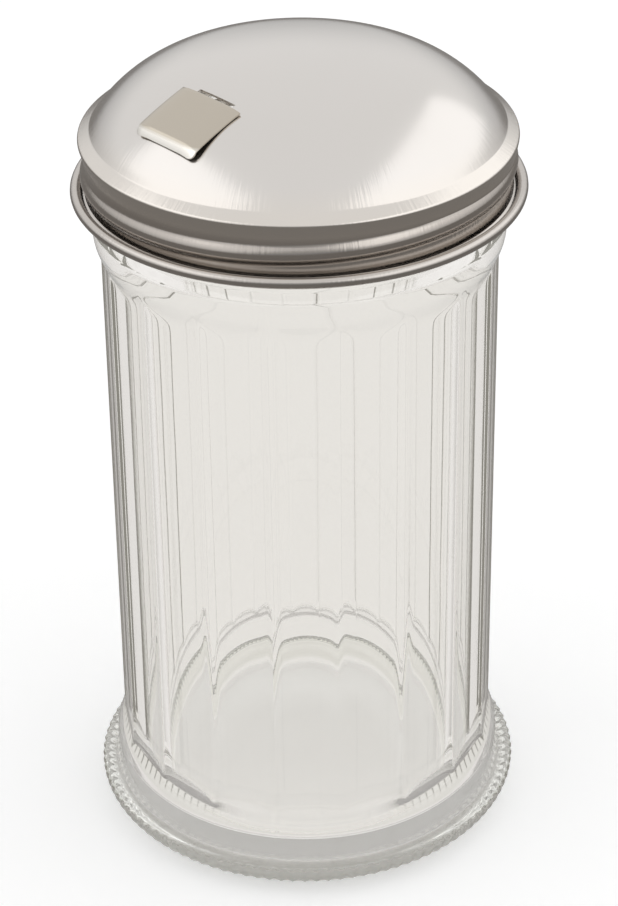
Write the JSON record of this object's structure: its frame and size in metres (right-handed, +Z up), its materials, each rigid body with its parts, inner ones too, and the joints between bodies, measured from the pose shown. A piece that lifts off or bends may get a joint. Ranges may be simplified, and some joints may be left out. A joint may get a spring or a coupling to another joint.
{
  "type": "sugar pourer",
  "caption": "Fluted glass sugar jar with a ribbed heel and a domed screw lid, whose hinged flap covers the pouring hole and swings open when the jar is tipped.",
  "frame": {"origin": "middle of the jar's foot, on the surface that it stands on", "axes": "+Z up along the jar's axis, -Y towards the side that the flap pours to, +X along the flap's hinge"},
  "size_m": [0.0778, 0.0778, 0.1471],
  "materials": {
    "jar_glass": "clear pressed soda-lime glass, fire polished",
    "lid_steel": "spun stainless sheet, satin polish with fine marks running round and down",
    "flap_steel": "stamped stainless sheet, satin"
  },
  "bodies": {
    "jar": {"glass_jar": "jar_glass"},
    "lid": {"screw_lid": "lid_steel"},
    "flap": {"pour_flap": "flap_steel"}
  },
  "joints": [
    {"name": "lid_lift", "type": "slide", "parent": "jar", "child": "lid", "axis": [0, 0, 1], "range_m": [0, 0.025]},
    {"name": "flap_hinge", "type": "hinge", "parent": "lid", "child": "flap", "pos_m": [0.0012, -0.0194, 0.14485], "axis": [-0.9999, 0, 0.0123], "range_deg": [0, 78]}
  ]
}
